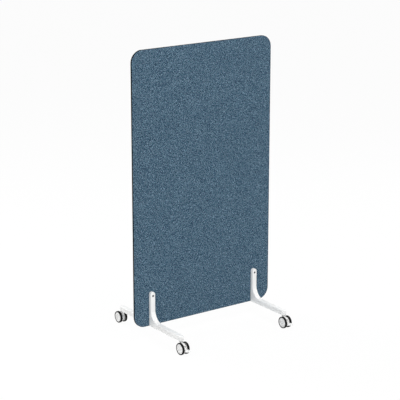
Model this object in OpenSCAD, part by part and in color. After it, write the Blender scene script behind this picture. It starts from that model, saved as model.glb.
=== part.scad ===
// Rolling partition: a thin board covered in fabric, held between two pairs of L-shaped feet.
// Each foot stands on a twin-wheel caster with a foot brake.
// X runs along the board, Y through it with the front at -Y, and Z up from the floor.

/* [Board] */
// Width of the board
board_w = 900; // [700:10:1200]
// Height of the board
board_h = 1500; // [1000:10:1800]
// Radius of the board's corners
board_corner_r = 64; // [20:1:100]
// Thickness of the stiff core
core_t = 9; // [6:0.5:20]
// Thickness of the fabric on each face
fabric_t = 0.8; // [0.4:0.1:2]
// Thickness of the edge band round the core
band_t = 1.2; // [0.6:0.1:3]

/* [Brackets] */
// From the board's side edge to the middle of a leg
leg_inset = 108; // [60:1:200]
// Width of a bracket
bracket_w = 29; // [24:0.5:40]
// Height of a bracket over its underside
bracket_h = 192; // [150:1:300]
// Thickness of the upright, out from the board
upright_t = 18; // [14:0.5:30]
// Height of the foot's bar
foot_h = 26; // [24:0.5:36]
// From the board's middle plane to the end of a foot
foot_reach = 298; // [220:1:400]
// Radius of the hollow blend between upright and foot
blend_r = 66; // [20:1:100]
// Rounding of the long edges
edge_r = 4; // [1:0.5:8]

/* [Fasteners] */
// From the top of a bracket down to its through bolt
bolt_drop = 21.5; // [16:0.5:40]
// Thickness of the through bolt
bolt_d = 6; // [4:0.5:6.5]
// Outside of the sleeve nut's barrel
sleeve_d = 8; // [7.5:0.5:9]
// Head of the bolt and of the sleeve nut
head_d = 10.5; // [10:0.5:14]
// Height of these heads
head_h = 3.5; // [3:0.5:6]
// How far a head lies under the bracket's face
head_sink = 0.7; // [0:0.1:2]
// Hexagon socket, across its flats
socket_af = 4; // [3:0.5:5]
// Depth of the hexagon socket
socket_depth = 2.2; // [1:0.1:2.5]
// How far the sleeve nut reaches into the front bracket
sleeve_reach = 4; // [1:0.5:8]
// How far the bolt reaches into the sleeve nut
bolt_grip = 14; // [6:0.5:18]
// Space past the bolt's tip in the sleeve nut
tip_gap = 2; // [0.5:0.5:3]
// Height of the locating dowel over the bracket's underside
dowel_rise = 44; // [20:1:90]
// Thickness of the locating dowel
dowel_d = 6; // [4:0.5:10]
// How far the dowel reaches into each bracket
dowel_grip = 8; // [4:0.5:12]

/* [Caster] */
// Diameter of a wheel over its tyre
wheel_d = 65; // [60:1:80]
// Width of one wheel
wheel_w = 12.5; // [10.5:0.5:18]
// Distance between the two wheels
wheel_gap = 19; // [17.5:0.5:30]
// Thickness of the tyre
tyre_t = 5.5; // [3:0.5:6.5]
// Rounding of the tyre's shoulders
shoulder_r = 2.2; // [0.5:0.1:2.8]
// Thickness of the wheel's rim under the tyre
rim_t = 3.7; // [2.5:0.1:4.5]
// Thickness of the wheel's web
web_t = 2.4; // [1.5:0.1:3]
// How far the wheel's face slopes back from the hub cap to the tyre
face_drop = 1.5; // [0.5:0.1:3]
// Radius of the boss round the axle
boss_r = 7; // [5:0.5:9]
// Diameter of the hub cap
cap_d = 37; // [26:0.5:42]
// Thickness of the hub cap
cap_t = 1.4; // [1:0.1:2]
// How far the hub cap lies under the wheel's face
cap_sink = 1.2; // [0.2:0.1:2]
// Depth of the hub cap's dish
cap_dish = 0.5; // [0.1:0.1:0.8]
// Flat border of the hub cap round its dish
cap_border = 2; // [1:0.5:3]
// Width of the slope down into the dish
dish_slope = 5; // [1:0.5:7]
// Thickness of the axle
axle_d = 6; // [5:0.5:8]
// Distance from a wheel's inner face to the axle's snap groove
groove_in = 3.2; // [2:0.1:3.4]
// Width of the snap groove
groove_w = 1.6; // [1:0.1:1.8]
// Depth of the snap groove
groove_depth = 0.45; // [0.2:0.05:0.8]
// From the stem to the axle, along the ground
trail = 16; // [14:0.5:22]
// How far the body's disc lies inside the rim
disc_inset = 1.5; // [1:0.1:3]
// Rounding of the disc's edges
disc_edge = 2; // [1:0.1:2.2]
// How much the hood is drawn in from each side of the body
hood_inset = 2.5; // [2.3:0.1:4]
// Wall of the spacer round the axle
spacer_wall = 2; // [1:0.5:3]

/* [Swivel] */
// Thickness of the stem
stem_d = 10; // [8:0.5:11]
// Length of the stem inside the foot
stem_grip = 21; // [12:0.5:21]
// Length of the stem inside the caster's body
stem_engage = 34; // [24:0.5:40]
// Wall of the stem's socket in the foot
socket_wall = 1.5; // [1:0.1:3]
// Diameter of the collar under the foot
collar_d = 21; // [16:0.5:26]
// Height of the collar
collar_h = 6; // [4:0.5:12]
// How far the caster's body stands over the wheels
body_rise = 1; // [0.5:0.5:4]
// From the stem's lower end up to its retaining ring
ring_rise = 5; // [3:0.5:10]
// Thickness of the retaining ring
ring_t = 1.2; // [0.8:0.1:2]
// How deep the ring sits in the stem
ring_bite = 1; // [0.5:0.1:1.5]
// How far the ring stands out of the stem
ring_out = 1; // [0.5:0.1:1.5]

/* [Brake] */
// How far the pedal stands out past the wheels
pedal_reach = 21; // [12:0.5:30]
// Thickness of the pedal
pedal_t = 4.5; // [3:0.5:6]
// Width of the pedal's tread
pedal_w = 26; // [20:0.5:34]
// Rounding of the pedal's corners
pedal_corner_r = 5; // [2:0.5:8]
// Number of grip ribs across the tread
ribs = 3; // [1:1:4]
// Distance from one grip rib to the next
rib_pitch = 3.5; // [2:0.5:4]
// Width of a grip rib
rib_w = 1.2; // [0.8:0.1:1.8]
// Height of a grip rib
rib_h = 0.6; // [0.3:0.1:1]
// Slope of the pedal at rest, in degrees
pedal_slope = 6; // [0:1:12]
// How far the pedal turns, in degrees
brake_travel = 15; // [8:1:18]
// Where the brake bar meets the rim, in degrees over the axle
brake_angle = 48; // [40:1:56]
// Thickness of the brake bar
bar_d = 2.5; // [2:0.1:3]
// How far the brake bar reaches into each wheel
bar_reach = 4; // [2:0.5:4]
// Width of the pedal's arm in its pocket
arm_w = 8; // [6:0.5:10]
// Gap between the pedal's tread and the tyres
tread_gap = 2; // [1.5:0.5:4]
// Wall of the arm round the brake bar
tail_wall = 1.5; // [1:0.1:2]
// Wall of the arm round the pin
pin_wall = 2.4; // [1.5:0.1:3]
// Thickness of the pedal's pin
pin_d = 4; // [3:0.5:5]
// From the rim in to the pedal's pin
pin_inset = 6; // [5:0.5:8]

/* [Clearances] */
// Round fits, on the radius
fit = 0.05; // [0.02:0.01:0.1]
// Room between pieces that pass each other
room = 0.4; // [0.3:0.1:0.8]
// End play of a wheel on its axle, and of the pressed brake bar
play = 0.3; // [0.2:0.05:0.5]
// Gap between the caster's body and each wheel
wheel_clear = 1; // [0.5:0.1:2]

/* [Hidden] */
$fn = 96;

FABRIC = [0.30, 0.40, 0.46];
CHARCOAL = [0.16, 0.16, 0.17];
BOARD = [0.55, 0.47, 0.37];
WHITE = [0.93, 0.93, 0.92];
PALE = [0.82, 0.82, 0.81];
GREY = [0.62, 0.63, 0.64];
STEEL = [0.55, 0.56, 0.58];
BLACK = [0.05, 0.05, 0.05];

// A leg or caster is [side along X, side along Y]
FRONT_LEFT = [-1, -1];
FRONT_RIGHT = [1, -1];
REAR_LEFT = [-1, 1];
REAR_RIGHT = [1, 1];
CORNERS = [FRONT_LEFT, FRONT_RIGHT, REAR_LEFT, REAR_RIGHT];
// A wheel is on the outer or the inner side of its caster
OUTER = 1;
INNER = -1;

// A little more than a cut needs
past = 1;
// Small roundings and chamfers
fine_edge = 0.5;
soft_edge = 0.8;
round_edge = 1.5;

// Heights over the floor
wheel_r = wheel_d / 2;
body_top = wheel_d + body_rise;
foot_z = body_top + collar_h;
bolt_z = foot_z + bracket_h - bolt_drop;
dowel_z = foot_z + dowel_rise;

// Board and legs
board_t = core_t + 2 * fabric_t;
leg_x = board_w / 2 - leg_inset;
round_r = bracket_w / 2;
stem_y = foot_reach - round_r;
head_face = board_t / 2 + upright_t - head_sink;
head_seat = head_face - head_h;
socket_r = stem_d / 2 + socket_wall;

// Caster
rim_r = wheel_r - tyre_t;
rim_in_r = rim_r - rim_t;
disc_r = rim_r - disc_inset;
body_w = wheel_gap - 2 * wheel_clear;
cap_seat = wheel_w - cap_sink - cap_t;
stem_low = body_top - stem_engage;
ring_z = stem_low + ring_rise;
axle_half = wheel_gap / 2 + cap_seat - room;
groove_out = wheel_gap / 2 + groove_in;

// Brake, as [Y, Z] from the axle
pivot = [rim_r - pin_inset, 0];
bar_pressed = (rim_in_r - bar_d / 2 - play) * [cos(brake_angle), sin(brake_angle)];
bar_rest = pivot + turned(bar_pressed - pivot, brake_travel);
tail_r = bar_d / 2 + tail_wall;
pivot_r = pin_d / 2 + pin_wall;

function turned(v, a) = [v[0] * cos(a) - v[1] * sin(a), v[0] * sin(a) + v[1] * cos(a)];
function bearing(v) = atan2(v[1], v[0]);

// ---- shared shapes ----

// Board's outline in X and Z, drawn in by inset
module board_outline(inset) {
    w = board_w - 2 * inset;
    h = board_h - 2 * inset;
    r = board_corner_r - inset;
    square([w - 2 * r, h], center = true);
    square([w, h - 2 * r], center = true);
    for (x = [-1, 1], z = [-1, 1])
        translate([x * (w / 2 - r), z * (h / 2 - r)])
            circle(r);
}

// A plate of the board, from y0 to y1, with the holes of its fasteners
module board_plate(inset, y0, y1) {
    difference() {
        translate([0, y1, foot_z + board_h / 2])
            rotate([90, 0, 0])
                linear_extrude(height = y1 - y0)
                    board_outline(inset);
        for (x = [-leg_x, leg_x]) {
            across(x, bolt_z, y0 - past, y1 + past, sleeve_d / 2 + fit);
            across(x, dowel_z, y0 - past, y1 + past, dowel_d / 2 + fit);
        }
    }
}

// A round bar along Y
module across(x, z, y0, y1, r) {
    translate([x, y0, z])
        rotate([-90, 0, 0])
            cylinder(h = y1 - y0, r = r);
}

// A round bar along X
module along(y, z, x0, x1, r) {
    translate([x0, y, z])
        rotate([0, 90, 0])
            cylinder(h = x1 - x0, r = r);
}

// w wide and t high, with its two upper corners rounded
module bar_section(w, t, r) {
    translate([-w / 2, 0])
        square([w, t - r]);
    translate([r - w / 2, 0])
        square([w - 2 * r, t]);
    for (x = [-1, 1])
        translate([x * (w / 2 - r), t - r])
            circle(r);
}

// A round plate of radius big and thickness t, with its upper edge rounded
module pebble(big, t, r) {
    rotate_extrude() {
        square([big, t - r]);
        square([big - r, t]);
        translate([big - r, t - r])
            circle(r);
    }
}

// A rounded strip from point a to point b
module strip(a, b, r) {
    translate(a)
        circle(r);
    translate(b)
        circle(r);
    translate(a)
        rotate(bearing(b - a))
            translate([0, -r])
                square([norm(b - a), 2 * r]);
}

// Extrudes a drawing of Y and Z along X, from -half to half
module through_x(half) {
    rotate([90, 0, 90])
        translate([0, 0, -half])
            linear_extrude(height = 2 * half)
                children();
}

// Stands its children, made with +Y outwards, on the leg at a corner
module at_leg(corner) {
    translate([corner[0] * leg_x, 0, 0])
        mirror([0, corner[1] < 0 ? 1 : 0, 0])
            children();
}

// Stands its children on the stem at a corner, with +X and +Y outwards
module at_stem(corner) {
    translate([corner[0] * leg_x, corner[1] * stem_y, 0])
        mirror([corner[0] < 0 ? 1 : 0, 0, 0])
            mirror([0, corner[1] < 0 ? 1 : 0, 0])
                children();
}

// Stands its children, turned bodies with +Z outwards, on a wheel's inner face
module at_wheel(corner, side) {
    at_stem(corner)
        translate([side * wheel_gap / 2, trail, wheel_r])
            rotate([0, side * 90, 0])
                children();
}

// ---- board ----

module board_core() {
    color(BOARD)
        board_plate(band_t, -core_t / 2, core_t / 2);
}

module front_fabric() {
    color(FABRIC)
        board_plate(0, -board_t / 2, -core_t / 2);
}

module rear_fabric() {
    color(FABRIC)
        board_plate(0, core_t / 2, board_t / 2);
}

module edge_band() {
    color(CHARCOAL)
        translate([0, core_t / 2, foot_z + board_h / 2])
            rotate([90, 0, 0])
                linear_extrude(height = core_t)
                    difference() {
                        board_outline(0);
                        board_outline(band_t);
                    }
}

// ---- brackets ----

// The hollow blend, turned about an axis in front of the corner and cut to the L
module blend() {
    centre_y = upright_t + blend_r;
    centre_z = foot_h + blend_r;
    outside = norm([centre_y, centre_z]) + past;
    intersection() {
        translate([0, centre_y, centre_z])
            rotate([0, 90, 0])
                rotate([0, 0, -90])
                    rotate_extrude(angle = 90)
                        translate([outside, 0])
                            rotate(90)
                                bar_section(bracket_w, outside - blend_r, edge_r);
        translate([-bracket_w, 0, 0])
            cube([2 * bracket_w, centre_y, centre_z]);
    }
}

module bracket(corner) {
    foot_len = stem_y - board_t / 2;
    color(WHITE)
        at_leg(corner)
            difference() {
                translate([0, board_t / 2, foot_z]) {
                    linear_extrude(height = bracket_h - round_r)
                        bar_section(bracket_w, upright_t, edge_r);
                    translate([0, 0, bracket_h - round_r])
                        rotate([-90, 0, 0])
                            pebble(round_r, upright_t, edge_r);
                    translate([0, foot_len, 0])
                        rotate([90, 0, 0])
                            linear_extrude(height = foot_len)
                                bar_section(bracket_w, foot_h, edge_r);
                    translate([0, foot_len, 0])
                        pebble(round_r, foot_h, edge_r);
                    blend();
                }
                across(0, bolt_z, 0, foot_reach, sleeve_d / 2 + fit);
                across(0, bolt_z, head_seat, foot_reach, head_d / 2 + room);
                across(0, dowel_z, 0, board_t / 2 + dowel_grip + room, dowel_d / 2 + fit);
                translate([0, stem_y, foot_z - past])
                    cylinder(h = past + stem_grip + room, r = socket_r + fit);
            }
}

// ---- fasteners ----

// Head of a bolt or sleeve nut, outwards along Z from its seat
module hex_head() {
    difference() {
        pebble(head_d / 2, head_h, fine_edge);
        translate([0, 0, head_h - socket_depth])
            cylinder(h = socket_depth + past, r = socket_af / sqrt(3), $fn = 6);
    }
}

module through_bolts() {
    color(STEEL)
        for (x = [-leg_x, leg_x]) {
            translate([x, -head_seat, bolt_z])
                rotate([90, 0, 0])
                    hex_head();
            across(x, bolt_z, -head_seat, bolt_grip - board_t / 2 - sleeve_reach, bolt_d / 2);
        }
}

module sleeve_nuts() {
    open_end = -board_t / 2 - sleeve_reach;
    color(STEEL)
        for (x = [-leg_x, leg_x]) {
            translate([x, head_seat, bolt_z])
                rotate([-90, 0, 0])
                    hex_head();
            difference() {
                across(x, bolt_z, open_end, head_seat, sleeve_d / 2);
                across(x, bolt_z, open_end - past, open_end + bolt_grip + tip_gap, bolt_d / 2 + fit);
            }
        }
}

module locating_dowels() {
    reach = board_t / 2 + dowel_grip;
    color(STEEL)
        for (x = [-leg_x, leg_x])
            across(x, dowel_z, -reach, reach, dowel_d / 2);
}

// ---- swivels ----

module stem_sockets() {
    color(GREY)
        for (corner = CORNERS)
            at_stem(corner)
                difference() {
                    translate([0, 0, foot_z])
                        cylinder(h = stem_grip, r = socket_r);
                    translate([0, 0, foot_z - past])
                        cylinder(h = stem_grip + 2 * past, r = stem_d / 2 + fit);
                }
}

module caster_stems() {
    color(STEEL)
        for (corner = CORNERS)
            at_stem(corner)
                difference() {
                    translate([0, 0, stem_low])
                        cylinder(h = foot_z + stem_grip - stem_low, r = stem_d / 2);
                    translate([0, 0, ring_z])
                        difference() {
                            cylinder(h = ring_t + 2 * fit, r = stem_d);
                            translate([0, 0, -past])
                                cylinder(h = ring_t + 2 * past, r = stem_d / 2 - ring_bite);
                        }
                }
}

module swivel_collars() {
    color(GREY)
        for (corner = CORNERS)
            at_stem(corner)
                translate([0, 0, body_top])
                    difference() {
                        pebble(collar_d / 2, collar_h, soft_edge);
                        translate([0, 0, -past])
                            cylinder(h = collar_h + 2 * past, r = stem_d / 2 + fit);
                    }
}

// Each ring is open on one side, as a snap ring is
module retaining_rings() {
    out_r = stem_d / 2 + ring_out;
    in_r = stem_d / 2 - ring_bite + fit;
    color(STEEL)
        for (corner = CORNERS)
            at_stem(corner)
                translate([0, 0, ring_z + fit])
                    difference() {
                        cylinder(h = ring_t, r = out_r);
                        translate([0, 0, -past])
                            cylinder(h = ring_t + 2 * past, r = in_r);
                        translate([-in_r / 2, 0, -past])
                            cube([in_r, out_r + past, ring_t + 2 * past]);
                    }
}

// ---- caster body ----

// Side view of the hood that runs from the stem's hub down into the disc round the axle
module hood_profile() {
    brow = [body_w / 2 - 2 * round_edge - trail, body_top - 2 * round_edge - wheel_r];
    lean = bearing(brow) - acos(disc_r / norm(brow));
    polygon([
        [0, 0],
        [-trail, 0],
        [-trail, brow[1]],
        brow,
        (disc_r - past) * [cos(lean), sin(lean)],
    ]);
}

// The way of the brake bar through the body's cheeks
module bar_slot() {
    arm = norm(bar_rest - pivot);
    half = bar_d / 2 + room;
    a0 = bearing(bar_pressed - pivot);
    a1 = bearing(bar_rest - pivot);
    far = 2 * arm;
    translate(pivot)
        intersection() {
            difference() {
                circle(arm + half);
                circle(arm - half);
            }
            polygon([[0, 0], far * [cos(a0), sin(a0)], far * [cos(a1), sin(a1)]]);
        }
    for (p = [bar_rest, bar_pressed])
        translate(p)
            circle(half);
}

module caster_body(corner) {
    hub_r = body_w / 2;
    spacer_r = axle_d / 2 + spacer_wall;
    spacer_half = wheel_gap / 2 - play;
    color(WHITE)
        at_stem(corner)
            difference() {
                union() {
                    for (side = [-1, 1])
                        translate([0, trail, wheel_r])
                            rotate([0, side * 90, 0])
                                pebble(disc_r, body_w / 2, disc_edge);
                    translate([0, 0, wheel_r])
                        pebble(hub_r, body_top - wheel_r, round_edge);
                    translate([0, trail, wheel_r])
                        through_x(body_w / 2 - hood_inset)
                            hood_profile();
                    along(trail, wheel_r, -spacer_half, spacer_half, spacer_r);
                }
                // stem and its ring
                translate([0, 0, stem_low - room])
                    cylinder(h = body_top, r = stem_d / 2 + fit);
                translate([0, 0, ring_z - room])
                    cylinder(h = ring_t + 2 * room, r = stem_d / 2 + ring_out + room);
                // axle and pin
                along(trail, wheel_r, -wheel_gap, wheel_gap, axle_d / 2 + fit);
                along(trail + pivot[0], wheel_r + pivot[1], -wheel_gap, wheel_gap, pin_d / 2 + fit);
                // pedal's pocket, and the brake bar's way
                translate([0, trail, wheel_r]) {
                    through_x(arm_w / 2 + room)
                        translate([bar_rest[0] - tail_r - room, -pivot_r - room])
                            square([disc_r, bar_pressed[1] + tail_r + pivot_r + 2 * room]);
                    through_x(body_w)
                        bar_slot();
                }
            }
}

module caster_axle(corner) {
    r = axle_d / 2;
    color(STEEL)
        at_stem(corner)
            translate([0, trail, wheel_r])
                rotate([0, 90, 0])
                    rotate_extrude()
                        polygon([
                            [0, -axle_half],
                            [r - fine_edge, -axle_half],
                            [r, fine_edge - axle_half],
                            [r, -groove_out - groove_w],
                            [r - groove_depth, -groove_out - groove_w],
                            [r - groove_depth, -groove_out],
                            [r, -groove_out],
                            [r, groove_out],
                            [r - groove_depth, groove_out],
                            [r - groove_depth, groove_out + groove_w],
                            [r, groove_out + groove_w],
                            [r, axle_half - fine_edge],
                            [r - fine_edge, axle_half],
                            [0, axle_half],
                        ]);
}

module pedal_pin(corner) {
    half = body_w / 2 - fine_edge;
    color(STEEL)
        at_stem(corner)
            along(trail + pivot[0], wheel_r + pivot[1], -half, half, pin_d / 2);
}

// Pedal's plate seen from above, with its pin at the origin: narrow in the pocket,
// wider between the wheels and widest past them
module pedal_plan() {
    dip = pedal_t / 2 * sin(pedal_slope + brake_travel);
    neck = disc_r + room + dip - pivot[0];
    tread = wheel_r + tread_gap - pivot[0];
    tip = wheel_r + pedal_reach - pivot[0];
    r = pedal_corner_r;
    translate([-arm_w / 2, 0])
        square([arm_w, tip - r]);
    translate([room - body_w / 2, neck])
        square([body_w - 2 * room, tip - r - neck]);
    translate([-pedal_w / 2, tread])
        square([pedal_w, tip - r - tread]);
    translate([r - pedal_w / 2, tread])
        square([pedal_w - 2 * r, tip - tread]);
    for (x = [-1, 1])
        translate([x * (pedal_w / 2 - r), tip - r])
            circle(r);
}

// Ribs on top of the plate, between its rounded corners and back from its tip
module grip_ribs() {
    tip = wheel_r + pedal_reach - pivot[0];
    long = pedal_w - 2 * pedal_corner_r;
    for (i = [0:ribs - 1])
        translate([-long / 2, tip - pedal_corner_r - rib_w - i * rib_pitch, -past])
            cube([long, rib_w, past + pedal_t / 2 + rib_h]);
}

module brake_pedal(corner) {
    bar_half = wheel_gap / 2 + bar_reach;
    color(WHITE)
        at_stem(corner)
            translate([0, trail, wheel_r]) {
                difference() {
                    union() {
                        through_x(arm_w / 2) {
                            strip(pivot, bar_rest, tail_r);
                            translate(pivot)
                                circle(pivot_r);
                        }
                        translate([0, pivot[0], pivot[1]])
                            rotate([-pedal_slope, 0, 0]) {
                                translate([0, 0, -pedal_t / 2])
                                    linear_extrude(height = pedal_t)
                                        pedal_plan();
                                grip_ribs();
                            }
                    }
                    along(pivot[0], pivot[1], -wheel_gap, wheel_gap, pin_d / 2 + fit);
                }
                along(bar_rest[0], bar_rest[1], -bar_half, bar_half, bar_d / 2);
            }
}

// ---- wheels: turned shapes, as [radius, distance from the inner face] ----

module caster_wheel(corner, side) {
    bore = axle_d / 2 + fit;
    lip = bore - groove_depth;
    web = cap_seat - web_t;
    seat_r = cap_d / 2;
    color(WHITE)
        at_wheel(corner, side)
            rotate_extrude()
                polygon([
                    [bore, 0],
                    [boss_r, 0],
                    [boss_r, web],
                    [rim_in_r, web],
                    [rim_in_r, 0],
                    [rim_r, 0],
                    [rim_r, wheel_w - face_drop],
                    [seat_r + soft_edge, wheel_w],
                    [seat_r, wheel_w - soft_edge],
                    [seat_r, cap_seat],
                    [bore, cap_seat],
                    [bore, groove_in + groove_w - play],
                    [lip, groove_in + groove_w - play],
                    [lip, groove_in + play],
                    [bore, groove_in + play],
                ]);
}

module caster_tyre(corner, side) {
    s = shoulder_r;
    color(BLACK)
        at_wheel(corner, side)
            rotate_extrude()
                translate([rim_r, wheel_w / 2])
                    rotate(-90)
                        bar_section(wheel_w, tyre_t, s);
}

module hub_cap(corner, side) {
    r = cap_d / 2 - fit;
    face = cap_seat + cap_t;
    floor_r = r - cap_border - dish_slope;
    color(PALE)
        at_wheel(corner, side)
            rotate_extrude()
                polygon([
                    [0, cap_seat],
                    [r, cap_seat],
                    [r, face - fine_edge],
                    [r - fine_edge, face],
                    [r - cap_border, face],
                    [floor_r, face - cap_dish],
                    [0, face - cap_dish],
                ]);
}

// ---- nodes ----

board_core();
front_fabric();
rear_fabric();
edge_band();
bracket(FRONT_LEFT);  // front_left_bracket
bracket(FRONT_RIGHT);  // front_right_bracket
bracket(REAR_LEFT);  // rear_left_bracket
bracket(REAR_RIGHT);  // rear_right_bracket
through_bolts();
sleeve_nuts();
locating_dowels();
stem_sockets();
caster_stems();
swivel_collars();
retaining_rings();

caster_body(FRONT_LEFT);  // front_left_body
caster_axle(FRONT_LEFT);  // front_left_axle
pedal_pin(FRONT_LEFT);  // front_left_pedal_pin
brake_pedal(FRONT_LEFT);  // front_left_brake_pedal
caster_wheel(FRONT_LEFT, OUTER);  // front_left_outer_wheel
caster_tyre(FRONT_LEFT, OUTER);  // front_left_outer_tyre
hub_cap(FRONT_LEFT, OUTER);  // front_left_outer_cap
caster_wheel(FRONT_LEFT, INNER);  // front_left_inner_wheel
caster_tyre(FRONT_LEFT, INNER);  // front_left_inner_tyre
hub_cap(FRONT_LEFT, INNER);  // front_left_inner_cap

caster_body(FRONT_RIGHT);  // front_right_body
caster_axle(FRONT_RIGHT);  // front_right_axle
pedal_pin(FRONT_RIGHT);  // front_right_pedal_pin
brake_pedal(FRONT_RIGHT);  // front_right_brake_pedal
caster_wheel(FRONT_RIGHT, OUTER);  // front_right_outer_wheel
caster_tyre(FRONT_RIGHT, OUTER);  // front_right_outer_tyre
hub_cap(FRONT_RIGHT, OUTER);  // front_right_outer_cap
caster_wheel(FRONT_RIGHT, INNER);  // front_right_inner_wheel
caster_tyre(FRONT_RIGHT, INNER);  // front_right_inner_tyre
hub_cap(FRONT_RIGHT, INNER);  // front_right_inner_cap

caster_body(REAR_LEFT);  // rear_left_body
caster_axle(REAR_LEFT);  // rear_left_axle
pedal_pin(REAR_LEFT);  // rear_left_pedal_pin
brake_pedal(REAR_LEFT);  // rear_left_brake_pedal
caster_wheel(REAR_LEFT, OUTER);  // rear_left_outer_wheel
caster_tyre(REAR_LEFT, OUTER);  // rear_left_outer_tyre
hub_cap(REAR_LEFT, OUTER);  // rear_left_outer_cap
caster_wheel(REAR_LEFT, INNER);  // rear_left_inner_wheel
caster_tyre(REAR_LEFT, INNER);  // rear_left_inner_tyre
hub_cap(REAR_LEFT, INNER);  // rear_left_inner_cap

caster_body(REAR_RIGHT);  // rear_right_body
caster_axle(REAR_RIGHT);  // rear_right_axle
pedal_pin(REAR_RIGHT);  // rear_right_pedal_pin
brake_pedal(REAR_RIGHT);  // rear_right_brake_pedal
caster_wheel(REAR_RIGHT, OUTER);  // rear_right_outer_wheel
caster_tyre(REAR_RIGHT, OUTER);  // rear_right_outer_tyre
hub_cap(REAR_RIGHT, OUTER);  // rear_right_outer_cap
caster_wheel(REAR_RIGHT, INNER);  // rear_right_inner_wheel
caster_tyre(REAR_RIGHT, INNER);  // rear_right_inner_tyre
hub_cap(REAR_RIGHT, INNER);  // rear_right_inner_cap
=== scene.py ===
"""Looks of a rolling partition: a cloth-covered board on two pairs of feet with casters.

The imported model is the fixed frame. This script stretches a woven cloth over each face
of the board, gives every piece its finish, and sets a plain white studio round it.
Lengths are in metres, with +X along the board, +Y to its rear and +Z up. A finish's
scales are in bumps per metre, and its shades are shares of its colour.
"""

import logging
import math
from dataclasses import dataclass, field
from enum import Enum
from typing import Any, Dict, Iterable, List, Optional, Sequence, Tuple, Union

import bmesh
import bpy
import numpy as np
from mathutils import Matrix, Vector


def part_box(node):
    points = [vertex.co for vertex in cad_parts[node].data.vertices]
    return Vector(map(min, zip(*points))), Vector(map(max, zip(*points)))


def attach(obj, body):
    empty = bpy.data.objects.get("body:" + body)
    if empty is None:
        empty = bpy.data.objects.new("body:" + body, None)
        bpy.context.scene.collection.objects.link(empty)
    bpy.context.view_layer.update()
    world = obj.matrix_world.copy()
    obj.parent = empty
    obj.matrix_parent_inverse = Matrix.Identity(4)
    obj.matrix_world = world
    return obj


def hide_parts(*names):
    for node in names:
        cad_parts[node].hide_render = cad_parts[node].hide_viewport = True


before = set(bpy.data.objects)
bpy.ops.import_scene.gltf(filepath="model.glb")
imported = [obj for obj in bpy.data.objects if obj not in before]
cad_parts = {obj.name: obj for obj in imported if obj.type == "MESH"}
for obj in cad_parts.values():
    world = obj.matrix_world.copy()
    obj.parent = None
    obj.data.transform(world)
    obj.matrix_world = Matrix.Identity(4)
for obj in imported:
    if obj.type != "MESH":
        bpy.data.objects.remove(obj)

log = logging.getLogger("partition")

MM = 0.001
ROOT_BODY = "partition"
WHITE = (1.0, 1.0, 1.0)
# What smooth noise is on average
EVEN = 0.5
# The sockets of a Mix node that mixes colours
MIX_AMOUNT, MIX_LOW, MIX_HIGH, MIX_RESULT = 0, 6, 7, 2

Rgb = Tuple[float, float, float]
Stops = Sequence[Tuple[float, Rgb]]
Point = Tuple[float, float, float]
Span = Tuple[float, float]
Operand = Union["Value", float]
Colour = Union[Rgb, bpy.types.NodeSocket]
Inputs = Dict[Union[str, int], Any]


# ---- choices ----


class Face(Enum):
    """A face of the board, by its side along Y."""

    FRONT = -1
    REAR = 1


class Corner(Enum):
    """A corner of the partition's footprint, as the nodes' names begin."""

    FRONT_LEFT = "front_left"
    FRONT_RIGHT = "front_right"
    REAR_LEFT = "rear_left"
    REAR_RIGHT = "rear_right"


class Roller(Enum):
    """A wheel of a twin-wheel caster, as the nodes' names say it."""

    OUTER = "outer"
    INNER = "inner"


# ---- colours ----


def srgb(red: int, green: int, blue: int) -> Rgb:
    """Turns a colour of 0 to 255 into linear light.

    Args:
        red: Red from 0 to 255.
        green: Green from 0 to 255.
        blue: Blue from 0 to 255.

    Returns:
        The linear colour.
    """

    def linear(level: int) -> float:
        """One channel in linear light, by the standard curve."""
        share = level / 255
        return share / 12.92 if share <= 0.04045 else ((share + 0.055) / 1.055) ** 2.4

    return linear(red), linear(green), linear(blue)


# ---- shader maths ----


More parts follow.
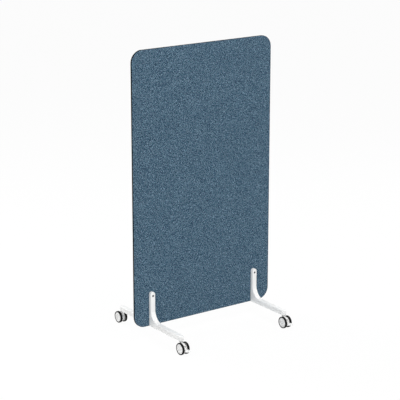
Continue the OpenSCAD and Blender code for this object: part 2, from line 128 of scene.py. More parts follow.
class Value:
    """A number that varies over a surface, with Python's arithmetic."""

    def __init__(self, shader: "Nodes", socket: bpy.types.NodeSocket) -> None:
        """Wraps a socket of a node tree."""
        self.shader = shader
        self.socket = socket

    def __add__(self, other: Operand) -> "Value":
        """The sum."""
        return self.shader.math("ADD", self, other)

    def __radd__(self, other: Operand) -> "Value":
        """The sum, from the right."""
        return self.shader.math("ADD", other, self)

    def __sub__(self, other: Operand) -> "Value":
        """The difference."""
        return self.shader.math("SUBTRACT", self, other)

    def __rsub__(self, other: Operand) -> "Value":
        """The difference, from the right."""
        return self.shader.math("SUBTRACT", other, self)

    def __mul__(self, other: Operand) -> "Value":
        """The product."""
        return self.shader.math("MULTIPLY", self, other)

    def __rmul__(self, other: Operand) -> "Value":
        """The product, from the right."""
        return self.shader.math("MULTIPLY", other, self)

    def __truediv__(self, other: Operand) -> "Value":
        """The quotient."""
        return self.shader.math("DIVIDE", self, other)

    def __rtruediv__(self, other: Operand) -> "Value":
        """The quotient, from the right."""
        return self.shader.math("DIVIDE", other, self)

    def __pow__(self, other: Operand) -> "Value":
        """The power."""
        return self.shader.math("POWER", self, other)

    def __rpow__(self, other: Operand) -> "Value":
        """The power, from the right."""
        return self.shader.math("POWER", other, self)

    def floor(self) -> "Value":
        """The whole number below."""
        return self.shader.math("FLOOR", self)

    def fraction(self) -> "Value":
        """What is left over the whole number below."""
        return self.shader.math("FRACT", self)

    def size(self) -> "Value":
        """The number without its sign."""
        return self.shader.math("ABSOLUTE", self)

    def wave(self) -> "Value":
        """A row of round crowns: 0 at whole numbers and 1 midway."""
        return self.shader.math("SINE", self * math.pi).size()

    def above(self, level: float) -> "Value":
        """1 above a level and 0 below it."""
        return self.shader.math("GREATER_THAN", self, level)

    def least(self, other: Operand) -> "Value":
        """The smaller of the two."""
        return self.shader.math("MINIMUM", self, other)

    def between(self, low: float, high: float) -> "Value":
        """A smooth step.

        Args:
            low: Where the step starts, at 0.
            high: Where it ends, at 1.

        Returns:
            The step's height.
        """
        ramp = self.shader.node(
            "ShaderNodeMapRange",
            {"interpolation_type": "SMOOTHSTEP"},
            {"Value": self, "From Min": low, "From Max": high},
        )
        return Value(self.shader, ramp.outputs["Result"])


class Nodes:
    """A node tree under construction."""

    def __init__(self, tree: bpy.types.NodeTree) -> None:
        """Empties the tree.

        Args:
            tree: The node tree to fill.
        """
        self.tree = tree
        self.tree.nodes.clear()

    def node(
        self,
        kind: str,
        settings: Optional[Dict[str, Any]] = None,
        inputs: Optional[Inputs] = None,
    ) -> bpy.types.Node:
        """Adds a node.

        Args:
            kind: The node's type.
            settings: Its settings, which are set first; "stops" holds a ramp's stops.
            inputs: Values or links of its sockets, by name or number.

        Returns:
            The node.
        """
        made = self.tree.nodes.new(kind)
        for name, setting in (settings or {}).items():
            if name == "stops":
                self._set_stops(made.color_ramp, setting)
            else:
                setattr(made, name, setting)
        for key, value in (inputs or {}).items():
            self.feed(made.inputs[key], value)
        return made

    @staticmethod
    def _set_stops(ramp: bpy.types.ColorRamp, stops: Stops) -> None:
        """Gives a colour ramp its stops.

        Args:
            ramp: The ramp.
            stops: The place and colour of each stop, in rising order.
        """
        while len(ramp.elements) < len(stops):
            ramp.elements.new(1.0)
        for element, (place, colour) in zip(ramp.elements, stops):
            element.position = place
            element.color = (*colour, 1.0)

    def feed(self, socket: bpy.types.NodeSocket, value: Any) -> None:
        """Links or sets a socket.

        Args:
            socket: The socket to feed.
            value: A Value, a socket, a number or a colour.
        """
        if isinstance(value, Value):
            value = value.socket
        if isinstance(value, bpy.types.NodeSocket):
            self.tree.links.new(value, socket)
        elif socket.type == "RGBA" and len(value) == 3:
            socket.default_value = (*value, 1.0)
        else:
            socket.default_value = value

    def math(self, operation: str, *values: Operand) -> Value:
        """Adds a Math node and returns its result."""
        made = self.node("ShaderNodeMath", {"operation": operation}, dict(enumerate(values)))
        return Value(self, made.outputs[0])

    def here(self) -> bpy.types.NodeSocket:
        """The surface's place in the partition, in metres."""
        return self.node("ShaderNodeTexCoord").outputs["Object"]

    def place(self) -> Tuple[Value, Value, Value]:
        """The surface's place in the partition, in metres along X, Y and Z."""
        split = self.node("ShaderNodeSeparateXYZ", {}, {0: self.here()})
        return tuple(Value(self, output) for output in split.outputs)

    def vector(self, x: Operand, y: Operand, z: Operand) -> bpy.types.NodeSocket:
        """A vector of three numbers."""
        return self.node("ShaderNodeCombineXYZ", {}, {0: x, 1: y, 2: z}).outputs[0]

    def noise(
        self,
        at: bpy.types.NodeSocket,
        scale: float,
        detail: float = 2.0,
        roughness: float = 0.5,
    ) -> Value:
        """Smooth noise.

        Args:
            at: Where to read it.
            scale: Bumps per unit of that place.
            detail: How many finer layers lie on it.
            roughness: How strong these are.

        Returns:
            The noise, from about 0 to 1 and EVEN on average.
        """
        made = self.node(
            "ShaderNodeTexNoise",
            {"noise_dimensions": "3D"},
            {"Vector": at, "Scale": scale, "Detail": detail, "Roughness": roughness},
        )
        return Value(self, made.outputs[0])

    def speckle(self, at: bpy.types.NodeSocket) -> Value:
        """A random number from 0 to 1, steady for each whole place."""
        made = self.node("ShaderNodeTexWhiteNoise", {"noise_dimensions": "3D"}, {"Vector": at})
        return Value(self, made.outputs["Value"])

    def ramp(self, amount: Value, stops: Stops) -> bpy.types.NodeSocket:
        """The colour at a place on a ramp of stops."""
        return self.node("ShaderNodeValToRGB", {"stops": stops}, {"Fac": amount}).outputs["Color"]

    def mix(self, low: Colour, high: Colour, amount: Operand) -> bpy.types.NodeSocket:
        """A mix of two colours: low at an amount of 0, and high at 1."""
        inputs = {MIX_AMOUNT: amount, MIX_LOW: low, MIX_HIGH: high}
        return self.node("ShaderNodeMix", {"data_type": "RGBA"}, inputs).outputs[MIX_RESULT]

    def shade(self, colour: Colour, level: Operand) -> bpy.types.NodeSocket:
        """A colour times a number."""
        inputs = {0: colour, "Scale": level}
        return self.node("ShaderNodeVectorMath", {"operation": "SCALE"}, inputs).outputs[0]

    def relief(
        self,
        height: Value,
        depth: float,
        under: Optional[bpy.types.NodeSocket] = None,
    ) -> bpy.types.NodeSocket:
        """A bump.

        Args:
            height: The relief's height from 0 to 1.
            depth: What a height of 1 stands for, in metres.
            under: The normal that it lies on.

        Returns:
            The bumped normal.
        """
        inputs: Inputs = {"Strength": 1.0, "Distance": depth, "Height": height}
        if under is not None:
            inputs["Normal"] = under
        return self.node("ShaderNodeBump", {}, inputs).outputs[0]

    def rounded(self, radius: float, samples: int = 6) -> bpy.types.NodeSocket:
        """The normal with its edges rounded by a small radius, in metres."""
        return self.node("ShaderNodeBevel", {"samples": samples}, {"Radius": radius}).outputs[0]

    def seen_directly(self) -> Value:
        """Tells what the camera sees from what only gives light.

        Returns:
            1 where the camera sees a place directly, by reflection or through glass.
        """
        rays = self.node("ShaderNodeLightPath")
        names = ("Is Camera Ray", "Is Glossy Ray", "Is Transmission Ray")
        camera, glossy, through = (Value(self, rays.outputs[name]) for name in names)
        return (camera + glossy + through).least(1.0)


class Shader(Nodes):
    """A material under construction: one Principled surface and what feeds it."""

    def __init__(self, name: str) -> None:
        """Starts an empty material.

        Args:
            name: The material's name.
        """
        self.material = bpy.data.materials.new(name)
        self.material.use_nodes = True
        super().__init__(self.material.node_tree)
        self.surface = self.node("ShaderNodeBsdfPrincipled")
        inputs = {"Surface": self.surface.outputs[0]}
        self.output = self.node("ShaderNodeOutputMaterial", {}, inputs)

    def finish(self, **sockets: Any) -> bpy.types.Material:
        """Feeds the surface.

        Args:
            **sockets: What each socket gets, by its name with _ for a space.

        Returns:
            The finished material.
        """
        for name, value in sockets.items():
            self.feed(self.surface.inputs[name.replace("_", " ")], value)
        return self.material


# ---- finishes ----


class Finish:
    """A surface finish, made once and shared by the pieces that have it."""

    _made: Dict["Finish", bpy.types.Material] = {}

    def paint(self, shader: Shader) -> bpy.types.Material:
        """Builds the finish.

        Args:
            shader: An empty shader.

        Returns:
            Its material, finished.
        """
        raise NotImplementedError

    def material(self) -> bpy.types.Material:
        """Makes the finish's material the first time it is asked for.

        Returns:
            The material.
        """
        if self not in Finish._made:
            Finish._made[self] = self.paint(Shader(type(self).__name__))
        return Finish._made[self]

    def dress(self, *nodes: str) -> None:
        """Gives this finish to CAD nodes.

        Args:
            *nodes: The nodes' names.
        """
        for name in nodes:
            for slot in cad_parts[name].material_slots:
                slot.material = self.material()
            log.info("%s: %s", name, type(self).__name__)


@dataclass(frozen=True)
class HeatherWeave(Finish):
    """Plain-woven wool of mixed blue-grey fibres, with soft slubs both ways."""

    # The fibres' colours by their tone, and two that tint them here and there
    tones: Stops = (
        (0.0, srgb(16, 33, 52)),
        (0.28, srgb(37, 64, 86)),
        (0.5, srgb(59, 88, 109)),
        (0.72, srgb(89, 120, 140)),
        (1.0, srgb(142, 168, 184)),
    )
    teal: Rgb = srgb(52, 100, 108)
    plum: Rgb = srgb(92, 88, 122)
    tint_scale: float = 170.0
    tint_spread: float = 0.25
    tint_share: float = 0.5
    # The threads: how far apart, how they wander, and how far their hair stands out
    thread: float = 1.8 * MM
    drift_scale: float = 9.0
    drift_threads: float = 1.4
    hair_scale: float = 700.0
    hair_threads: float = 0.6
    # The crossings: the share skipped, how a thread's crown lifts it, how soft they are
    skips: float = 0.3
    crown_lift: float = 0.6
    softness: float = 0.12
    # Light and dark along one thread: its slubs, each thread's read a step further on,
    # and its fibres, close together across the thread and long along it. The seeds keep
    # warp and weft apart
    slub_length: float = 6.5 * MM
    slub_step: float = 3.7
    slub_contrast: float = 3.6
    fibre_fineness: float = 1.3
    fibre_across: float = 4.3
    fibre_along: float = 0.8
    fibre_contrast: float = 1.5
    warp_seed: float = 3.0
    weft_seed: float = 8.0
    # Light and dark over all threads
    mean_tone: float = 0.45
    blend_scale: float = 185.0
    blend_contrast: float = 2.4
    cloud_scale: float = 14.0
    cloud_contrast: float = 0.12
    # The hollows between the threads, with painted shade that darkens them and painted light on
    # the threads' crowns, and the hair on them
    hollow_shade: float = 0.68
    crown_shade: float = 0.5
    hair_relief: float = 0.2
    relief: float = 0.3 * MM
    roughness: float = 0.86
    hair_roughness: float = 0.12

    def cross(self, shader: Shader, warp: Value, weft: Value) -> Value:
        """Lays the two sets of threads over and under each other.

        Args:
            shader: The shader to build on.
            warp: Place across the upright threads, in threads.
            weft: Place across the level threads, in threads.

        Returns:
            1 where an upright thread is on top, and 0 where a level one is.
        """
        crossing = shader.vector(warp.floor(), weft.floor(), 0.0)
        skipped = shader.speckle(crossing).above(1.0 - self.skips)
        # 0 and 1 by turns, as on a chessboard, and the other way round where one is skipped
        checker = ((warp.floor() + weft.floor()) * 0.5).fraction() * 2.0
        rise = (checker - skipped).size() * 2.0 - 1.0
        lift = rise * (warp.wave() + weft.wave()) * 0.5
        crown = (warp.wave() ** 0.5 - weft.wave() ** 0.5) * self.crown_lift
        return (lift + crown).between(-self.softness, self.softness)

    def yarn(self, shader: Shader, across: Value, along: Value, seed: float) -> Value:
        """The tone of one set of threads.

        Args:
            shader: The shader to build on.
            across: Place across the threads, in threads.
            along: Place along the threads, in threads.
            seed: Keeps the two sets apart.

        Returns:
            The tone, 0 on average, darker below and lighter above.
        """
        row = across.floor() * self.slub_step
        slub_place = shader.vector(row, along * (self.thread / self.slub_length), seed)
        fibre_place = shader.vector(across * self.fibre_across, along * self.fibre_along, seed)
        slub = shader.noise(slub_place, scale=1.0, detail=1.0)
        fibre = shader.noise(fibre_place, self.fibre_fineness, detail=4.0, roughness=0.7)
        return (slub - EVEN) * self.slub_contrast + (fibre - EVEN) * self.fibre_contrast

    def dye(self, shader: Shader, at: bpy.types.NodeSocket, tone: Value) -> bpy.types.NodeSocket:
        """Turns a tone of the threads into the colour of their fibres.

        Args:
            shader: The shader to build on.
            at: Place on the cloth.
            tone: The threads' tone, 0 on average.

        Returns:
            The colour.
        """
        blend = shader.noise(at, self.blend_scale, roughness=0.6) - EVEN
        cloud = shader.noise(at, self.cloud_scale) - EVEN
        mixed = tone + blend * self.blend_contrast + cloud * self.cloud_contrast + self.mean_tone
        colour = shader.ramp(mixed, self.tones)
        tint = shader.noise(at, self.tint_scale, detail=1.0)
        teal_share = tint.between(EVEN, EVEN + self.tint_spread) * self.tint_share
        plum_share = tint.between(EVEN, EVEN - self.tint_spread) * self.tint_share
        return shader.mix(shader.mix(colour, self.teal, teal_share), self.plum, plum_share)

    def paint(self, shader: Shader) -> bpy.types.Material:
        """Builds the weave: threads over and under, their fibres, and painted shade in the
        hollows between.

        Args:
            shader: An empty shader.

        Returns:
            Its material, finished.
        """
        x, _, z = shader.place()
        flat = shader.vector(x, 0.0, z)
        drift = shader.noise(flat, self.drift_scale, detail=1.0) * self.drift_threads
        hair = shader.noise(flat, self.hair_scale, detail=3.0, roughness=0.7)
        warp = x / self.thread + drift + hair * self.hair_threads
        weft = z / self.thread + drift - hair * self.hair_threads
        on_top = self.cross(shader, warp, weft)
        by_warp = self.yarn(shader, warp, weft, self.warp_seed)
        by_weft = self.yarn(shader, weft, warp, self.weft_seed)
        crown = warp.wave() * on_top + weft.wave() * (1.0 - on_top)
        colour = self.dye(shader, flat, by_warp * on_top + by_weft * (1.0 - on_top))
        height = crown * (1.0 - self.hair_relief) + hair * self.hair_relief
        # The colour carries painted shade: darker in the hollows between the threads and lighter
        # on their crowns
        return shader.finish(
            Base_Color=shader.shade(colour, crown * self.crown_shade + self.hollow_shade),
            Roughness=hair * self.hair_roughness + self.roughness,
            Normal=shader.relief(height, self.relief),
            Specular_IOR_Level=0.05,
            Sheen_Weight=0.06,
            Sheen_Roughness=0.5,
            Sheen_Tint=srgb(170, 190, 205),
        )


@dataclass(frozen=True)
class FeltEdge(Finish):
    """A charcoal edge band with a fine felted grain."""

    colour: Rgb = srgb(24, 25, 27)
    grain: float = 0.9 * MM
    grain_shade: float = 0.5
    grain_roughness: float = 0.15
    relief: float = 0.12 * MM
    patch_scale: float = 40.0
    patch_shade: float = 0.2
    least_shade: float = 0.65
    roughness: float = 0.8

    def paint(self, shader: Shader) -> bpy.types.Material:
        """Builds the felt from two scales of grain.

        Args:
            shader: An empty shader.

        Returns:
            Its material, finished.
        """
        at = shader.here()
        grain = shader.noise(at, 1 / self.grain, detail=3.0, roughness=0.65)
        patch = shader.noise(at, self.patch_scale)
        level = grain * self.grain_shade + patch * self.patch_shade + self.least_shade
        return shader.finish(
            Base_Color=shader.shade(self.colour, level),
            Roughness=grain * self.grain_roughness + self.roughness,
            Normal=shader.relief(grain, self.relief),
            Specular_IOR_Level=0.02,
        )


@dataclass(frozen=True)
class PowderCoat(Finish):
    """White powder coat with its faint orange peel."""

    colour: Rgb = srgb(241, 241, 240)
    peel: float = 1.3 * MM
    peel_depth: float = 0.02 * MM
    edge: float = 0.5 * MM
    cloud_scale: float = 30.0
    cloud_shade: float = 0.03
    cloud_roughness: float = 0.14
    touch_scale: float = 8.0
    touch_span: Span = (0.5, 0.8)
    touch_shade: float = 0.03
    touch_roughness: float = 0.06
    roughness: float = 0.3

    def paint(self, shader: Shader) -> bpy.types.Material:
        """Builds the coat: peel, a little uneven gloss and a trace of handling.

        Args:
            shader: An empty shader.

        Returns:
            Its material, finished.
        """
        at = shader.here()
        peel = shader.noise(at, 1 / self.peel, detail=1.0)
        cloud = shader.noise(at, self.cloud_scale, detail=3.0, roughness=0.6)
        touch = shader.noise(at, self.touch_scale, detail=4.0, roughness=0.6)
        touched = touch.between(*self.touch_span)
        level = 1.0 - touched * self.touch_shade - (cloud - EVEN) * self.cloud_shade
        gloss = cloud * self.cloud_roughness + self.roughness + touched * self.touch_roughness
        return shader.finish(
            Base_Color=shader.shade(self.colour, level),
            Roughness=gloss,
            Normal=shader.relief(peel, self.peel_depth, shader.rounded(self.edge)),
            Coat_Weight=0.15,
            Coat_Roughness=0.25,
        )


@dataclass(frozen=True)
class MouldedPlastic(Finish):
    """Injection-moulded plastic with a fine spark-eroded grain."""

    colour: Rgb
    roughness: float = 0.35
    grain: float = 0.25 * MM
    grain_depth: float = 0.012 * MM
    edge: float = 0.3 * MM
    flow_scale: float = 60.0
    flow_stretch: float = 0.3
    flow_shade: float = 0.04
    flow_roughness: float = 0.12
    scuff_scale: float = 140.0
    scuff_span: Span = (0.56, 0.74)
    scuff_shade: float = 0.05
    scuff_roughness: float = 0.1

    def paint(self, shader: Shader) -> bpy.types.Material:
        """Builds the plastic: grain, faint flow marks and scuffs.

        Args:
            shader: An empty shader.

        Returns:
            Its material, finished.
        """
        x, y, z = shader.place()
        at = shader.vector(x, y, z)
        along = shader.vector(x * self.flow_stretch, y, z)
        grain = shader.noise(at, 1 / self.grain, detail=1.0)
        flow = shader.noise(along, self.flow_scale)
        scuff = shader.noise(at, self.scuff_scale, detail=4.0, roughness=0.7)
        scuffed = scuff.between(*self.scuff_span)
        level = 1.0 - scuffed * self.scuff_shade - (flow - EVEN) * self.flow_shade
        gloss = flow * self.flow_roughness + scuffed * self.scuff_roughness + self.roughness
        return shader.finish(
            Base_Color=shader.shade(self.colour, level),
            Roughness=gloss,
            Normal=shader.relief(grain, self.grain_depth, shader.rounded(self.edge)),
        )


@dataclass(frozen=True)
class BlackTyre(Finish):
    """Soft black tyre rubber, a little dusty."""

    colour: Rgb = srgb(10, 10, 11)
    dust: Rgb = srgb(74, 72, 70)
    dust_share: float = 0.05
    dust_scale: float = 90.0
    dust_span: Span = (0.52, 0.78)
    dust_roughness: float = 0.15
    grain: float = 0.5 * MM
    grain_depth: float = 0.03 * MM
    grain_roughness: float = 0.15
    edge: float = 0.4 * MM
    roughness: float = 0.55

    def paint(self, shader: Shader) -> bpy.types.Material:
        """Builds the rubber with its grain and patches of dust.

        Args:
            shader: An empty shader.

        Returns:
            Its material, finished.
        """
        at = shader.here()
        grain = shader.noise(at, 1 / self.grain, detail=3.0, roughness=0.6)
        dust = shader.noise(at, self.dust_scale, detail=4.0, roughness=0.65)
        dusty = dust.between(*self.dust_span)
        gloss = grain * self.grain_roughness + dusty * self.dust_roughness + self.roughness
        return shader.finish(
            Base_Color=shader.mix(self.colour, self.dust, dusty * self.dust_share),
            Roughness=gloss,
            Normal=shader.relief(grain, self.grain_depth, shader.rounded(self.edge)),
            Specular_IOR_Level=0.15,
        )


@dataclass(frozen=True)
class ZincPlate(Finish):
    """Turned steel with a thin zinc plate."""

    colour: Rgb = srgb(176, 178, 180)
    mark: float = 0.2 * MM
    mark_stretch: float = 0.1
    mark_depth: float = 0.01 * MM
    mark_roughness: float = 0.15
    edge: float = 0.2 * MM
    cloud_scale: float = 260.0
    cloud_shade: float = 0.3
    cloud_roughness: float = 0.1
    least_shade: float = 0.82
    roughness: float = 0.25

    def paint(self, shader: Shader) -> bpy.types.Material:
        """Builds the plate with turning marks and uneven shine.

        Args:
            shader: An empty shader.

        Returns:
            Its material, finished.
        """
        x, y, z = shader.place()
        marks = shader.noise(shader.vector(x, y * self.mark_stretch, z), 1 / self.mark)
        cloud = shader.noise(shader.vector(x, y, z), self.cloud_scale, detail=3.0)
        gloss = marks * self.mark_roughness + cloud * self.cloud_roughness + self.roughness
        return shader.finish(
            Base_Color=shader.shade(self.colour, cloud * self.cloud_shade + self.least_shade),
            Metallic=1.0,
            Roughness=gloss,
            Normal=shader.relief(marks, self.mark_depth, shader.rounded(self.edge)),
        )


@dataclass(frozen=True)
class Fibreboard(Finish):
    """Raw fibreboard, hidden under the cloth."""

    pale: Rgb = srgb(196, 172, 140)
    deep: Rgb = srgb(150, 122, 92)
    fibre_scale: float = 420.0
    press: float = 4.0
    relief: float = 0.08 * MM
    roughness: float = 0.8
    fibre_roughness: float = 0.1

    def paint(self, shader: Shader) -> bpy.types.Material:
        """Builds the board from pressed fibres.

        Args:
            shader: An empty shader.

        Returns:
            Its material, finished.
        """
        x, y, z = shader.place()
        pressed = shader.vector(x, y * self.press, z)
        fibre = shader.noise(pressed, self.fibre_scale, detail=4.0, roughness=0.7)
        return shader.finish(
            Base_Color=shader.mix(self.deep, self.pale, fibre),
            Roughness=fibre * self.fibre_roughness + self.roughness,
            Normal=shader.relief(fibre, self.relief),
        )


WHITE_PLASTIC = MouldedPlastic(srgb(241, 241, 240))
PALE_PLASTIC = MouldedPlastic(srgb(236, 236, 235), roughness=0.4)
GREY_PLASTIC = MouldedPlastic(srgb(190, 191, 191), roughness=0.45)
BRIGHT_ZINC = ZincPlate()
DARK_ZINC = ZincPlate(srgb(34, 34, 36))


# ---- meshes ----


def mesh_piece(
    name: str,
    points: np.ndarray,
    faces: Iterable[Sequence[int]],
    finish: Finish,
) -> bpy.types.Object:
    """Makes a smooth-shaded piece.

    Args:
        name: The piece's name.
        points: Its points, one row each.
        faces: Its faces, as point numbers.
        finish: What it is covered with.

    Returns:
        The piece, linked into the scene.
    """
    mesh = bpy.data.meshes.new(name)
    mesh.from_pydata([tuple(p) for p in points], [], [tuple(f) for f in faces])
    mesh.validate()
    mesh.shade_smooth()
    mesh.materials.append(finish.material())
    piece = bpy.data.objects.new(name, mesh)
    bpy.context.scene.collection.objects.link(piece)
    return piece


def smooth_step(amount: np.ndarray) -> np.ndarray:
    """A smooth step from 0 to 1 as amount goes from 0 to 1."""
    share = np.clip(amount, 0, 1)
    return share * share * (3 - 2 * share)


def spread(stops: Sequence[float], widest: float, slack: float = 1e-6) -> np.ndarray:
    """Fills the gaps between places.

    Args:
        stops: Places to keep, rising.
        widest: The widest gap that may stay.
        slack: How much wider than that a gap may be, as a share, before it is split.

    Returns:
        Rising places that hold every stop.
    """
    places: List[float] = []
    for start, end in zip(stops, stops[1:]):
        count = max(1, math.ceil((end - start) / widest - slack))
        places.extend(np.linspace(start, end, count, endpoint=False))
    return np.array([*places, stops[-1]])


# ---- the board ----


@dataclass
class Footprint:
    """Where a bracket's upright presses on the cloth, as a strip with a round top."""

    x: float
    half_width: float
    top: float

    def distance(self, x: np.ndarray, z: np.ndarray) -> np.ndarray:
        """How far points of the cloth lie outside the strip; less than 0 inside it."""
        over = np.maximum(z - (self.top - self.half_width), 0)
        return np.hypot(x - self.x, over) - self.half_width


@dataclass
class Board:
    """The board: its core, edge band and the cloth on its two faces."""

    body: str = ROOT_BODY
    corner_radius: float = 64 * MM
    # How far the cloth stays in from the black edge's outside, and how its rim rolls down
    edge_show: float = 1.2 * MM
    roll: float = 1.2 * MM
    roll_share: float = 0.96
    # How the cloth stands proud: puffed, but pressed flat under the brackets
    puff: float = 0.35 * MM
    press_width: float = 6 * MM
    # Its long ripples, calm near the brackets. Ripples and the slow waves that bend them
    # are in radians per metre, and the bends in radians
    ripple: float = 0.12 * MM
    calm_width: float = 72 * MM
    ripple_x: float = 23.0
    ripple_z: float = 17.0
    bend_x: float = 1.3
    bend_z: float = 1.1
    slow_x: float = 9.0
    slow_z: float = 11.0
    # The mesh: its widest cell, lines in from the cloth's edge, and lines beside a
    # bracket in half press widths
    widest_cell: float = 12 * MM
    rim_lines: Sequence[float] = (0.0, 0.15 * MM, 0.4 * MM, 0.8 * MM, 1.2 * MM, 3 * MM, 8 * MM)
    press_lines: Sequence[float] = (-1.0, -0.4, 0.4, 1.0, 2.2)
    hole_sides: int = 32
    punch_depth: float = 60 * MM
    cloth: HeatherWeave = field(default_factory=HeatherWeave)
    felt: FeltEdge = field(default_factory=FeltEdge)
    core: Fibreboard = field(default_factory=Fibreboard)

    def __post_init__(self) -> None:
        """Reads the board's size from the frame."""
        low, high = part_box("front_fabric")
        self.width = high.x - low.x - 2 * self.edge_show
        self.bottom, self.top = low.z + self.edge_show, high.z - self.edge_show
        self.middle = (self.top + self.bottom) / 2
        self.corner_radius -= self.edge_show
        self.straight_x = self.width / 2 - self.corner_radius
        self.straight_z = (self.top - self.bottom) / 2 - self.corner_radius
        self.inner_y = abs(high.y)
        self.outer_y = abs(low.y)

    def footprints(self) -> List[Footprint]:
        """Finds where the two legs press on the cloth.

        Returns:
            The two strips, left and right.
        """
        strips = []
        for corner in (Corner.FRONT_LEFT, Corner.FRONT_RIGHT):
            low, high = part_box(corner.value + "_bracket")
            strips.append(Footprint((low.x + high.x) / 2, (high.x - low.x) / 2, high.z))
        return strips

    def edge_distance(self, x: np.ndarray, z: np.ndarray) -> np.ndarray:
        """Measures how far points lie inside the cloth's rounded outline.

        Args:
            x: The points' places along X.
            z: The points' places along Z.

        Returns:
            The distances.
        """
        in_x = np.abs(x) - self.straight_x
        in_z = np.abs(z - self.middle) - self.straight_z
        beyond = np.hypot(np.maximum(in_x, 0), np.maximum(in_z, 0))
        within = np.minimum(np.maximum(in_x, in_z), 0)
        return self.corner_radius - beyond - within

    def grid(self) -> Tuple[np.ndarray, np.ndarray]:
        """Sets out the cloth's grid, closer at its edges and beside the brackets.

        Returns:
            The places of its lines along X and along Z.
        """
        strip = self.footprints()[1]
        rim = [*self.rim_lines, self.corner_radius]
        half_press = self.press_width / 2
        marks = {self.width / 2 - inset for inset in rim} | {0.0}
        for step in self.press_lines:
            marks |= {strip.x - strip.half_width - step * half_press}
            marks |= {strip.x + strip.half_width + step * half_press}
        right = spread(sorted(marks), self.widest_cell)
        columns = np.concatenate([-right[:0:-1], right])
        marks = {self.top - inset for inset in rim} | {self.bottom + inset for inset in rim}
        marks |= {strip.top + step * half_press for step in self.press_lines}
        return columns, spread(sorted(marks), self.widest_cell)

    def outline(self, x: np.ndarray, z: np.ndarray) -> Tuple[np.ndarray, np.ndarray]:
        """Draws the grid's square corners in to the cloth's round ones.

        Args:
            x: The points' places along X.
            z: The points' places along Z.

        Returns:
            Their new places along X and along Z.
        """
        radius = self.corner_radius
        # How far into the corner's square a point lies, from 0 to 1 each way. The square
        # is then drawn in to a quarter of a disc, and its outer sides to the disc's rim
        in_x = np.clip((np.abs(x) - self.straight_x) / radius, 0, 1)
        in_z = np.clip((np.abs(z - self.middle) - self.straight_z) / radius, 0, 1)
        round_x = self.straight_x + radius * in_x * np.sqrt(1 - in_z * in_z / 2)
        round_z = self.straight_z + radius * in_z * np.sqrt(1 - in_x * in_x / 2)
        corner = (in_x > 0) & (in_z > 0)
        new_x = np.where(corner, np.sign(x) * round_x, x)
        new_z = np.where(corner, self.middle + np.sign(z - self.middle) * round_z, z)
        return new_x, new_z

    def stand(self, x: np.ndarray, z: np.ndarray) -> np.ndarray:
        """Shapes the cloth's face.

        Args:
            x: The points' places along X.
            z: The points' places along Z.

        Returns:
            How far each point stands out from the board's middle plane.
        """
        pressed = np.min([strip.distance(x, z) for strip in self.footprints()], axis=0)
        wave_x = np.sin(x * self.ripple_x + self.bend_x * np.sin(z * self.slow_z))
        wave_z = np.sin(z * self.ripple_z + self.bend_z * np.sin(x * self.slow_x))
        proud = self.puff * smooth_step(pressed / self.press_width)
        proud += self.ripple * wave_x * wave_z * smooth_step(pressed / self.calm_width)
        face = self.outer_y + proud - self.inner_y
        rim = np.clip(self.edge_distance(x, z) / self.roll, 0, 1)
        return self.inner_y + face * np.sqrt(1 - (1 - rim) ** 2 * self.roll_share)

    def cover(self, side: Face) -> bpy.types.Object:
        """Stretches the cloth over one face.

        Args:
            side: Which face.

        Returns:
            The cloth, a thin closed sheet.
        """
        columns, rows = self.grid()
        x, z = np.meshgrid(columns, rows, indexing="ij")
        x, z = self.outline(x, z)
        outer = np.stack([x, side.value * self.stand(x, z), z], -1).reshape(-1, 3)
        inner = np.stack([x, np.full_like(x, side.value * self.inner_y), z], -1).reshape(-1, 3)
        high = len(rows)
        total = len(outer)

        def number(i: int, j: int) -> int:
            """The point at column i and row j."""
            return i * high + j

        faces = []
        for i in range(len(columns) - 1):
            for j in range(high - 1):
                quad = [number(i, j), number(i + 1, j), number(i + 1, j + 1), number(i, j + 1)]
                quad = quad if side is Face.FRONT else quad[::-1]
                faces.append(quad)
                faces.append([total + n for n in reversed(quad)])
        # The rim, once round, joins the outer side to the inner one
        last_i, last_j = len(columns) - 1, high - 1
        rim = [number(i, 0) for i in range(last_i)]
        rim += [number(last_i, j) for j in range(last_j)]
        rim += [number(i, last_j) for i in range(last_i, 0, -1)]
        rim += [number(0, j) for j in range(last_j, 0, -1)]
        for start, end in zip(rim, rim[1:] + rim[:1]):
            wall = [start, total + start, total + end, end]
            faces.append(wall if side is Face.FRONT else wall[::-1])
        name = side.name.lower() + "_cloth"
        return mesh_piece(name, np.concatenate([outer, inner]), faces, self.cloth)

    def punch(self, piece: bpy.types.Object) -> None:
        """Cuts the holes for the bolts and dowels through a cloth.

        Args:
            piece: The cloth.
        """
        bm = bmesh.new()
        for strip in self.footprints():
            for node in ("through_bolts", "locating_dowels"):
                low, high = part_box(node)
                radius = (high.z - low.z) / 2
                made = bmesh.ops.create_cone(
                    bm,
                    cap_ends=True,
                    segments=self.hole_sides,
                    radius1=radius,
                    radius2=radius,
                    depth=self.punch_depth,
                )
                # It is made upright, and laid along Y where the hole is
                for point in made["verts"]:
                    x, y, z = point.co
                    point.co = (strip.x + x, z, (low.z + high.z) / 2 + y)
        bmesh.ops.recalc_face_normals(bm, faces=bm.faces)
        mesh = bpy.data.meshes.new("punch")
        bm.to_mesh(mesh)
        bm.free()
        tool = bpy.data.objects.new("punch", mesh)
        bpy.context.scene.collection.objects.link(tool)
        cut = piece.modifiers.new("holes", "BOOLEAN")
        cut.operation = "DIFFERENCE"
        cut.solver = "EXACT"
        cut.object = tool
        graph = bpy.context.evaluated_depsgraph_get()
        punched = bpy.data.meshes.new_from_object(piece.evaluated_get(graph))
        piece.modifiers.clear()
        piece.data = punched
        bpy.data.objects.remove(tool)

    def build(self) -> None:
        """Covers both faces and dresses the core and the edge band."""
        for side in Face:
            piece = self.cover(side)
            self.punch(piece)
            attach(piece, self.body)
            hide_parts(side.name.lower() + "_fabric")
            log.info("%s: %d points", piece.name, len(piece.data.vertices))
        self.felt.dress("edge_band")
        self.core.dress("board_core")


# ---- the legs ----


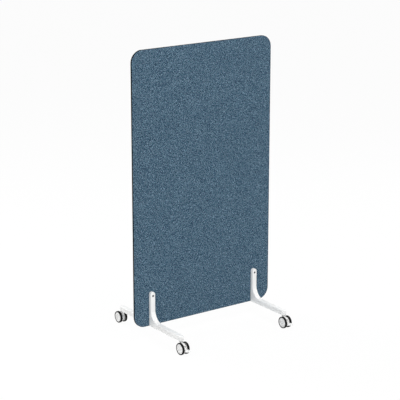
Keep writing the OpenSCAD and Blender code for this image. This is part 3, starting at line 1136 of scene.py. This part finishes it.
@dataclass
class Legs:
    """The four brackets and what holds them to the board and the casters."""

    coat: PowderCoat = field(default_factory=PowderCoat)

    def build(self) -> None:
        """Dresses the brackets and their fasteners."""
        self.coat.dress(*(corner.value + "_bracket" for corner in Corner))
        DARK_ZINC.dress("through_bolts", "sleeve_nuts")
        BRIGHT_ZINC.dress("locating_dowels", "caster_stems", "retaining_rings")
        GREY_PLASTIC.dress("stem_sockets", "swivel_collars")


# ---- a caster ----


@dataclass
class Caster:
    """One twin-wheel caster with its brake."""

    corner: Corner
    tyre: BlackTyre = field(default_factory=BlackTyre)

    def build(self) -> None:
        """Dresses the body, the brake and the two wheels."""
        name = self.corner.value
        WHITE_PLASTIC.dress(name + "_body", name + "_brake_pedal")
        BRIGHT_ZINC.dress(name + "_axle", name + "_pedal_pin")
        for roller in Roller:
            WHITE_PLASTIC.dress(f"{name}_{roller.value}_wheel")
            PALE_PLASTIC.dress(f"{name}_{roller.value}_cap")
            self.tyre.dress(f"{name}_{roller.value}_tyre")


# ---- the studio ----


@dataclass
class Softbox:
    """A large soft lamp."""

    name: str
    place: Point
    target: Point
    size: float
    power: float

    def build(self) -> None:
        """Hangs the lamp and turns it to its target."""
        lamp = bpy.data.lights.new(self.name, "AREA")
        lamp.shape = "SQUARE"
        lamp.size = self.size
        lamp.energy = self.power
        holder = bpy.data.objects.new(self.name, lamp)
        holder.location = self.place
        aim = Vector(self.target) - Vector(self.place)
        holder.rotation_euler = aim.to_track_quat("-Z", "Y").to_euler()
        bpy.context.scene.collection.objects.link(holder)


@dataclass
class Viewpoint:
    """The camera, level from side to side, at the photograph's viewing angle."""

    place: Point = (-4.5564, -6.3484, 2.9079)
    azimuth: float = -35.56
    elevation: float = 15.68
    focal_pixels: float = 1504.6
    frame_pixels: float = 400
    sensor_mm: float = 36
    farthest: float = 200

    def build(self) -> None:
        """Sets up the scene's camera."""
        lens = bpy.data.cameras.new("camera")
        lens.sensor_width = self.sensor_mm
        lens.lens = self.focal_pixels / self.frame_pixels * self.sensor_mm
        lens.clip_end = self.farthest
        holder = bpy.data.objects.new("camera", lens)
        holder.location = self.place
        turn, drop = math.radians(self.azimuth), math.radians(self.elevation)
        level = math.cos(drop)
        ahead = Vector((-math.sin(turn) * level, math.cos(turn) * level, -math.sin(drop)))
        holder.rotation_euler = ahead.to_track_quat("-Z", "Y").to_euler()
        bpy.context.scene.collection.objects.link(holder)
        bpy.context.scene.camera = holder


@dataclass
class Studio:
    """A white floor and surroundings, soft lamps and the camera."""

    floor_size: float = 120.0
    floor_grey: float = 0.86
    floor_white: float = 0.96
    backdrop_white: float = 0.97
    sky: float = 0.3
    lamps: Tuple[Softbox, ...] = (
        Softbox("left_softbox", (-2.7, -0.35, 2.6), (-0.2, 0.0, 0.2), size=1.4, power=30.4),
        Softbox("front_softbox", (-0.6, -4.8, 2.3), (0.0, 0.0, 0.6), size=2.0, power=27.4),
        Softbox("low_softbox", (0.3, -4.4, 0.9), (0.0, 0.0, 0.3), size=1.4, power=35.3),
        Softbox("top_softbox", (0.0, -0.8, 4.4), (0.0, 0.0, 0.0), size=2.6, power=100.0),
        Softbox("rear_softbox", (-1.4, 3.4, 3.2), (0.0, 0.0, 0.2), size=2.0, power=96.0),
        Softbox("right_softbox", (3.6, 0.6, 2.4), (0.0, 0.0, 0.2), size=1.6, power=39.2),
    )
    camera: Viewpoint = field(default_factory=Viewpoint)

    def floor(self) -> None:
        """Lays the floor, which shows almost white and keeps a faint shadow."""
        half = self.floor_size / 2
        corners = [(-half, -half, 0), (half, -half, 0), (half, half, 0), (-half, half, 0)]
        mesh = bpy.data.meshes.new("floor")
        mesh.from_pydata(corners, [], [(0, 1, 2, 3)])
        shader = Shader("StudioFloor")
        shader.finish(Base_Color=(self.floor_grey,) * 3, Roughness=0.9, Specular_IOR_Level=0.0)
        glow = shader.node("ShaderNodeEmission", {}, {"Color": WHITE, "Strength": 1.0})
        seen = shader.seen_directly() * self.floor_white
        inputs = {0: seen, 1: shader.surface.outputs[0], 2: glow.outputs[0]}
        blend = shader.node("ShaderNodeMixShader", {}, inputs)
        shader.feed(shader.output.inputs["Surface"], blend.outputs[0])
        mesh.materials.append(shader.material)
        ground = bpy.data.objects.new("floor", mesh)
        bpy.context.scene.collection.objects.link(ground)

    def surroundings(self) -> None:
        """Fills the room with even light and shows it as white."""
        world = bpy.data.worlds.new("studio")
        world.use_nodes = True
        nodes = Nodes(world.node_tree)
        level = nodes.seen_directly() * (self.backdrop_white - self.sky) + self.sky
        back = nodes.node("ShaderNodeBackground", {}, {"Color": WHITE, "Strength": level})
        nodes.node("ShaderNodeOutputWorld", {}, {"Surface": back.outputs[0]})
        bpy.context.scene.world = world

    def build(self) -> None:
        """Sets the floor, the light and the camera."""
        self.floor()
        self.surroundings()
        for lamp in self.lamps:
            lamp.build()
        self.camera.build()
        bpy.context.scene.view_settings.view_transform = "Standard"


# ---- all of it ----


def main() -> None:
    """Builds the partition's looks."""
    logging.basicConfig(level=logging.INFO, format="%(name)s %(message)s")
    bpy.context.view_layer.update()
    Studio().build()
    Board().build()
    Legs().build()
    for corner in Corner:
        Caster(corner).build()


if __name__ == "__main__":
    main()
